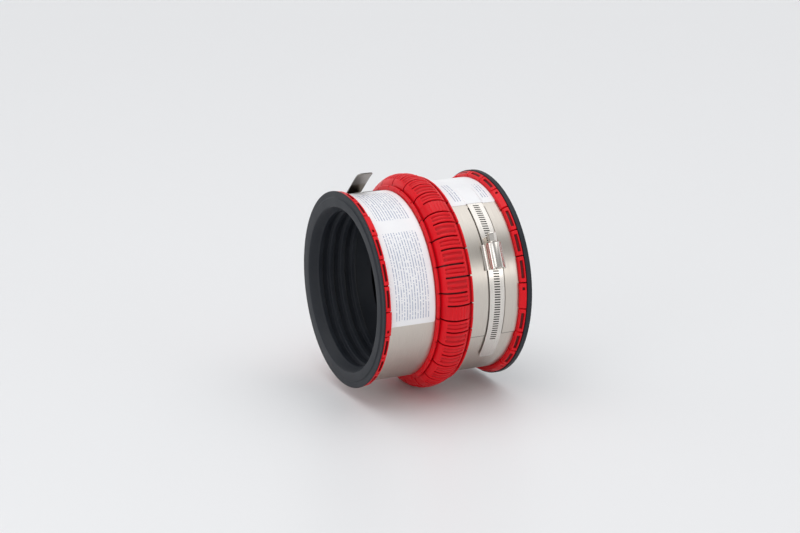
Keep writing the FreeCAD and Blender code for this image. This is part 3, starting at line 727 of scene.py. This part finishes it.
# The strap's line in the YZ plane from its tail to its root: places, outward directions and
# distance from the tail. Each bend adds an arc or a straight run beyond the band's circle.
def strapLine(side):
    radius = side["band"] + strapLift + strapThickness / 2
    stretches = []
    place, slope = around(0, radius, side["tail"])[1:], side["tail"] - 90
    for bendRadius, turn, length in (strap["bends"] if side is leftSide else ()):
        steps = np.linspace(0, 1, 16)[1:]
        if turn:
            sign = 1 if turn > 0 else -1
            start = math.radians(slope)
            centre = place + sign * bendRadius * np.array([math.sin(start), math.cos(start)])
            lean = np.radians(slope + turn * steps)
            points = centre - sign * bendRadius * np.stack([np.sin(lean), np.cos(lean)], -1)
        else:
            lean = np.full(len(steps), math.radians(slope))
            points = place + length * steps[:, None] * np.array([-math.cos(lean[0]), math.sin(lean[0])])
        stretches.append((points, np.stack([np.sin(lean), np.cos(lean)], -1)))
        place, slope = points[-1], slope + turn
    root = side["forkRoot"] + strap["weldTurn"]
    t = np.radians(np.arange(side["tail"], root, math.degrees(strap["pitch"] / 8 / radius)))
    outward = np.stack([-np.cos(t), np.sin(t)], -1)
    points = np.concatenate([s[0][::-1] for s in stretches[::-1]] + [radius * outward])
    normals = np.concatenate([s[1][::-1] for s in stretches[::-1]] + [outward])
    lengths = np.concatenate([[0], np.cumsum(np.linalg.norm(np.diff(points, axis=0), axis=1))])
    turns = np.concatenate([np.full(sum(len(s[0]) for s in stretches), np.nan), np.degrees(t)])
    return points, normals, lengths, turns


# The strap is the line given a width. Slots lean by the worm's helix, over a thin near-black sheet inside the
# strap that paints the shade seen through them.
def buildStrap(side):
    points, normals, lengths, turns = strapLine(side)
    half, slotMiddle = strap["half"], strap["slotOffset"]
    x = np.unique(np.concatenate([evenly(-half, slotMiddle - strap["slotHalf"], 1.0),
                                  slotMiddle + evenly(-strap["slotHalf"], strap["slotHalf"], 1.0),
                                  evenly(slotMiddle + strap["slotHalf"], half, 1.0)]))
    grow = np.clip(lengths / strap["tipLength"], 0, 1)
    width = strap["tipWidth"] + (1 - strap["tipWidth"]) * np.sqrt(1 - (1 - grow) ** 2)
    shift = strap["lean"] * np.clip(x - slotMiddle, -4, 4)[None, :] * ease(lengths, 6, 12)[:, None]
    tangent = np.stack([-normals[:, 1], normals[:, 0]], -1)
    layers = []
    for offset in (strapThickness / 2, -strapThickness / 2):
        yz = (points + normals * offset)[:, None, :] + tangent[:, None, :] * shift[..., None]
        across = side["middle"] + x[None, :] * width[:, None]
        layers.append(np.concatenate([across[..., None], yz], axis=-1))
    radius = side["band"] + strapLift + strapThickness / 2
    midTurn = (turns[1:] + turns[:-1]) / 2
    fromRoot = np.radians(side["forkRoot"] - midTurn) * radius
    phase = np.abs(fromRoot / strap["pitch"] - np.round(fromRoot / strap["pitch"])) * strap["pitch"]
    slotted = (phase < strap["slotWidth"] / 2) & (fromRoot > -0.6) & (midTurn > side["slotsEnd"])
    midX = (x[1:] + x[:-1]) / 2
    inRow = np.abs(midX - slotMiddle) < strap["slotHalf"]
    keep = ~(slotted[:, None] & inRow[None, :])
    uv = np.stack(np.broadcast_arrays(lengths[:, None], x[None, :]), axis=-1)
    name = side["name"]
    # Under the slot row lies a near-black sheet that is painted shade, not a part of the real strap
    shadeSheetCells = inRow[None, :] & ((fromRoot > -0.6) & (midTurn > side["slotsEnd"]))[:, None]
    shadeSheet = [layers[1] + (layers[0] - layers[1]) * share for share in strap["shadeSheet"]]
    shade = np.where(np.isnan(turns), strap["tailShade"], 0)[:, None] * np.ones(len(x))
    sheets = [cutPlate(layers[0], layers[1], keep, uv, shade),
              cutPlate(shadeSheet[0], shadeSheet[1], shadeSheetCells, uv, np.ones(uv.shape[:2]))]
    makePiece(name + "Strap", sheets, brightSteel, name + "_strap_set",
              [name + "_strap"])


for side in (leftSide, rightSide):
    buildStrap(side)
print("straps made")


# ---- worm housings and screws

housing = {"half": 13.0, "wallInner": 8.45, "wallOuter": 9.25, "wingHalf": 11.6, "wingLift": 1.45,
           "endWallBase": 2.7, "shoulderLift": 2.4, "barrelFoot": 3.5, "barrelSpring": 5.1,
           "barrelOuter": 8.3, "sheet": 0.9, "fluteDepth": 0.38, "flutes": 5, "endWall": 1.1}
screw = {"lift": 7.1, "journal": 2.6, "core": 3.9, "crest": 4.9, "half": 11.4, "neck": 3.2, "collar": 5.0,
         "collarStart": 13.3, "headStart": 14.6, "headEnd": 23.4, "flats": 8.0, "slotWidth": 1.3,
         "slotDepth": 2.2}


# The arch over the screw: a half circle with shallow flutes along it
def archPoints(radius, base, count, fluting):
    angle = np.linspace(0, math.pi, count)
    flute = fluting * (0.5 - 0.5 * np.cos(angle * 2 * housing["flutes"]))
    r = radius - flute
    return np.stack([r * np.cos(angle), base + housing["barrelSpring"] + r * np.sin(angle)], axis=-1)


# The folded shell's section: feet, walls and the fluted arch, outside and inside
def shellLoop(base, fluting):
    h = housing
    rightFoot = np.array([(h["wallInner"], base + 0.1), (h["wallOuter"], base + 0.1),
                          (h["wallOuter"], base + h["wingLift"]), (h["wingHalf"], base + h["wingLift"]),
                          (h["wingHalf"], base + h["wingLift"] + h["sheet"]),
                          (h["wallOuter"] + 0.2, base + h["wingLift"] + h["sheet"]),
                          (h["barrelOuter"] + 0.1, base + h["barrelFoot"])])
    outer = archPoints(h["barrelOuter"], base, 61, fluting)
    inner = archPoints(h["barrelOuter"] - h["sheet"], base, 41, 0)[::-1]
    leftFoot = rightFoot[::-1] * np.array([-1, 1])
    inside = np.array([(h["wallInner"], base + h["shoulderLift"])])
    return np.concatenate([rightFoot, outer, leftFoot, inside * np.array([-1, 1]), inner, inside])


# A loop of (x, z) at each place along the screw, as sections drawn on top of the coupling
def carriedAlong(loops, places):
    return np.stack([np.stack([loop[:, 0], np.full(len(loop), y), loop[:, 1]], -1)
                     for loop, y in zip(loops, places)])


def circleLoop(radius, centre, count):
    angle = np.arange(count) * 2 * math.pi / count
    return np.stack([radius * np.cos(angle), centre + radius * np.sin(angle)], axis=-1)


# An end wall is a ring between the arch and the screw's bearing hole
def endWallSheet(base, start, end, hole):
    count = 64
    centre = base + screw["lift"]
    angle = np.arange(count) * 2 * math.pi / count
    reach = housing["barrelOuter"] - housing["sheet"] + 0.2
    outX = reach * np.cos(angle)
    outZ = base + housing["barrelSpring"] + reach * np.sin(angle)
    outer = np.stack([outX, np.maximum(outZ, base + housing["endWallBase"])], axis=-1)
    inner = circleLoop(hole, centre, count)
    return carriedAlong([outer, outer, inner, inner], [start, end, end, start])


def placed(sections, side):
    moved = sections + np.array([side["middle"], 0, 0])
    return turnTo(moved, side["turn"])


def mapAlong(sections):
    return np.stack([sections[..., 1] * 1.0, sections[..., 0] + sections[..., 2]], axis=-1)


def buildHousing(side):
    base, half = side["band"], housing["half"]
    places = np.array([-half, -half + 0.25, -half + 0.8, -half + 1.8, 0,
                       half - 1.8, half - 0.8, half - 0.25, half])
    shares = np.array([0, 0, 0.3, 1, 1, 1, 0.3, 0, 0])
    loops = [shellLoop(base, housing["fluteDepth"] * share) for share in shares]
    shell = carriedAlong(loops, places)
    low = endWallSheet(base, -half + 0.15, -half + housing["endWall"], screw["journal"] + 0.05)
    high = endWallSheet(base, half - housing["endWall"], half - 0.15, screw["neck"] + 0.05)
    sheets = [loft(placed(shell, side), uv=mapAlong(shell)),
              loft(placed(low, side), closed=True, uv=mapAlong(low)),
              loft(placed(high, side), closed=True, uv=mapAlong(high))]
    name = side["name"]
    makePiece(name + "Housing", sheets, brightSteel, "coupling", [name + "_housing"], 24)


# The worm: a helical thread, crest where the turn and the place along the screw agree
def wormSections(centre):
    y = np.linspace(-screw["half"], screw["half"], 121)
    angle = np.arange(48) * 2 * math.pi / 48
    phase = (y[:, None] / strap["pitch"] + angle[None, :] / (2 * math.pi)) % 1
    thread = ease(np.minimum(phase, 1 - phase), 0.12, 0.30)
    r = screw["crest"] - (screw["crest"] - screw["core"]) * thread
    x, z = r * np.cos(angle), centre + r * np.sin(angle)
    return np.stack(np.broadcast_arrays(x, y[:, None], z), axis=-1)


def hexLoop(flats, centre, shrink=1.0, count=8):
    corners = np.arange(7) * math.pi / 3 + math.pi / 6
    reach = flats / 2 / math.cos(math.pi / 6) * shrink
    points = np.stack([reach * np.cos(corners), centre + reach * np.sin(corners)], -1)
    shares = np.arange(count) / count
    return np.concatenate([points[i] + (points[i + 1] - points[i]) * shares[:, None] for i in range(6)])


# Half of a hexagon on one side of the driver's slot
def halfHexLoop(flats, centre, sign, shrink=1.0):
    edge = screw["slotWidth"] / 2
    reach = flats / 2 / math.cos(math.pi / 6) * shrink
    wide = reach * math.cos(math.pi / 6)
    rise = [(wide, edge), (wide, reach / 2), (0, reach), (-wide, reach / 2), (-wide, edge)]
    return np.array([(x, centre + sign * z) for x, z in rise])


def buildScrew(side):
    centre = side["screwRadius"]
    s = screw
    sheets = []

    def turned(radii, places):
        sections = carriedAlong([circleLoop(r, centre, 40) for r in radii], places)
        sheets.append(loft(placed(sections, side), uv=mapAlong(sections)))

    turned([s["journal"] - 0.4, s["journal"], s["journal"]],
           [-housing["half"] - 0.6, -housing["half"] - 0.2, -s["half"]])
    turned([s["neck"], s["neck"]], [s["half"], s["collarStart"] + 0.1])
    turned([s["collar"] - 0.3, s["collar"], s["collar"], s["collar"] - 0.3],
           [s["collarStart"], s["collarStart"] + 0.25, s["headStart"] - 0.2, s["headStart"]])
    worm = wormSections(centre)
    sheets.append(loft(placed(worm, side), uv=mapAlong(worm)))
    floor = s["headEnd"] - s["slotDepth"]
    head = carriedAlong([hexLoop(s["flats"], centre)] * 2, [s["headStart"], floor])
    sheets.append(loft(placed(head, side), uv=mapAlong(head)))
    for sign in (1, -1):
        shrink = (1.0, 1.0, 0.97, 0.90)
        places = (floor, s["headEnd"] - 0.9, s["headEnd"] - 0.35, s["headEnd"])
        ear = carriedAlong([halfHexLoop(s["flats"], centre, sign, k) for k in shrink], places)
        sheets.append(loft(placed(ear, side), uv=mapAlong(ear)))
    name = side["name"]
    makePiece(name + "Screw", sheets, brightSteel, name + "_screw_body", [name + "_screw"])


for side in (leftSide, rightSide):
    buildHousing(side)
    buildScrew(side)
print("housings and screws made")


# ---- labels

leftLabel = {"near": 19.5, "far": 68.2, "low": -8.8, "high": 105.0}
rightLabel = {"near": 19.2, "far": 71.6, "low": 61.0, "high": 117.0}
film = {"thickness": 0.15, "lift": 0.06, "corner": 1.6}


# A film on the band. Its corners are rounded by pulling the ends of the outer columns in.
def labelSheet(side, size, height):
    x = evenly(size["near"], size["far"], 0.9)
    t = evenly(size["low"], size["high"], 0.7)
    perDegree = side["band"] * math.pi / 180
    toEdge = np.minimum(x - size["near"], size["far"] - x)
    corner = film["corner"]
    pull = corner - np.sqrt(corner ** 2 - np.clip(corner - toEdge, 0, corner) ** 2)
    share = (t - size["low"]) / (size["high"] - size["low"])
    turn = t[:, None] + (pull[None, :] / perDegree) * (1 - 2 * share)[:, None]
    grid = np.broadcast_to(x[None, :], turn.shape)
    base = height(side["sign"] * grid, turn)
    top = around(side["sign"] * grid, base + film["thickness"], turn)
    under = around(side["sign"] * grid, base, turn)
    keep = np.ones((len(t) - 1, len(x) - 1), bool)
    uv = np.stack([(turn - size["low"]) * perDegree, grid - size["near"]], axis=-1)
    return cutPlate(top, under, keep, uv)


def onLeftBand(x, t):
    return leftSide["band"] + film["lift"] + ripple(x, t, band["ripple"])


# Over the strap's welded end the film rises by the strap's height
def onRightPlate(x, t):
    plate = rightSide["band"] + slideGap + sheetThickness + film["lift"] + ripple(x, t, band["ripple"])
    over = 1 - ease(np.abs(x - rightSide["middle"]), strap["half"] + 0.1, strap["half"] + 1.6)
    strapEnd = rightSide["forkRoot"] + strap["weldTurn"]
    over = over * (1 - ease(t, strapEnd, strapEnd + 2))
    rise = strapLift + strapThickness - slideGap - sheetThickness
    return plate + (rise + 0.05) * over


makePiece("leftLabel", [labelSheet(leftSide, leftLabel, onLeftBand)], leftPrint, "coupling",
          ["left_label"])
makePiece("rightLabel", [labelSheet(rightSide, rightLabel, onRightPlate)], rightPrint, "right_strap_set",
          ["right_label"])
print("labels made")


# ---- frame nodes that keep their shape

for node in ("left_saddle", "right_saddle", "left_strap_welds", "right_strap_welds"):
    kept = frame["nodes"][node]
    kept.data.materials.clear()
    kept.data.materials.append(bandSteel)


# ---- floor, light and camera

stage = {"floor": (0.80, 0.805, 0.815), "floorSize": 8.0,
         "sky": ((0.00, 0.95), (0.34, 0.98), (0.50, 0.42), (0.70, 0.40), (0.84, 1.45), (1.00, 1.65))}
camera = {"place": (-0.8829, -1.8221, 0.5949), "azimuth": -25.54, "elevation": 15.98, "lens": 92.1}


def buildFloor():
    half = stage["floorSize"] / 2
    height = cadBounds[0][2] - 0.0004
    steps = np.linspace(-half, half, 3)
    grid = np.stack(np.broadcast_arrays(steps[:, None], steps[None, :], height), -1).reshape(-1, 3)
    corners = [(i * 3 + j, (i + 1) * 3 + j) for i in range(2) for j in range(2)]
    faces = [(here, ahead, ahead + 1, here + 1) for here, ahead in corners]
    mesh = bpy.data.meshes.new("studioFloor")
    mesh.from_pydata(grid.tolist(), [], faces)
    finish = Finish("studioPaper", stage["floor"], 0.42)
    finish.shader.inputs["Specular IOR Level"].default_value = 0.25
    mesh.materials.append(finish.material)
    floor = bpy.data.objects.new("studioFloor", mesh)
    scene.collection.objects.link(floor)


def addLight(name, place, target, size, power, color=(1, 1, 1)):
    lamp = bpy.data.lights.new(name, "AREA")
    lamp.shape = "RECTANGLE"
    lamp.size, lamp.size_y = size
    lamp.energy = power
    lamp.color = color
    item = bpy.data.objects.new(name, lamp)
    scene.collection.objects.link(item)
    item.location = place
    direction = np.array(target, float) - np.array(place, float)
    item.rotation_mode = "QUATERNION"
    item.rotation_quaternion = Vector(direction).to_track_quat("-Z", "Y")


def buildLights():
    world = bpy.data.worlds.new("studioWorld")
    world.use_nodes = True
    tree = world.node_tree
    height = tree.nodes.new("ShaderNodeSeparateXYZ")
    ramp = tree.nodes.new("ShaderNodeValToRGB")
    tree.links.new(tree.nodes.new("ShaderNodeTexCoord").outputs["Generated"], height.inputs["Vector"])
    tree.links.new(height.outputs["Z"], ramp.inputs["Fac"])
    tree.links.new(ramp.outputs["Color"], tree.nodes["Background"].inputs["Color"])
    stops = ramp.color_ramp.elements
    while len(stops) < len(stage["sky"]):
        stops.new(0.5)
    for stop, (place, bright) in zip(stops, stage["sky"]):
        stop.position = place
        stop.color = (bright * 0.985, bright * 0.99, bright, 1)
    scene.world = world
    addLight("topBox", (-0.2, 0.1, 1.7), (0, 0, 0), (1.6, 1.2), 2.5)
    addLight("leftBox", (-1.5, -0.9, 0.7), (0, 0, 0), (0.7, 1.1), 3)
    addLight("frontBox", (0.9, -1.9, 0.55), (0, 0, 0), (0.9, 0.5), 1.5, (1.0, 0.97, 0.93))


def buildCamera():
    data = bpy.data.cameras.new("view")
    data.lens, data.sensor_width = camera["lens"], 36.0
    item = bpy.data.objects.new("view", data)
    scene.collection.objects.link(item)
    a, e = math.radians(camera["azimuth"]), math.radians(camera["elevation"])
    right = np.array([math.cos(a), math.sin(a), 0])
    back = np.array([math.sin(a) * math.cos(e), -math.cos(a) * math.cos(e), math.sin(e)])
    up = np.cross(back, right)
    matrix = Matrix.Identity(4)
    for column, axis in enumerate((right, up, back)):
        for row in range(3):
            matrix[row][column] = axis[row]
    matrix.translation = camera["place"]
    item.matrix_world = matrix
    scene.camera = item


buildFloor()
buildLights()
buildCamera()
scene.view_settings.view_transform = "Standard"
print("stage made")
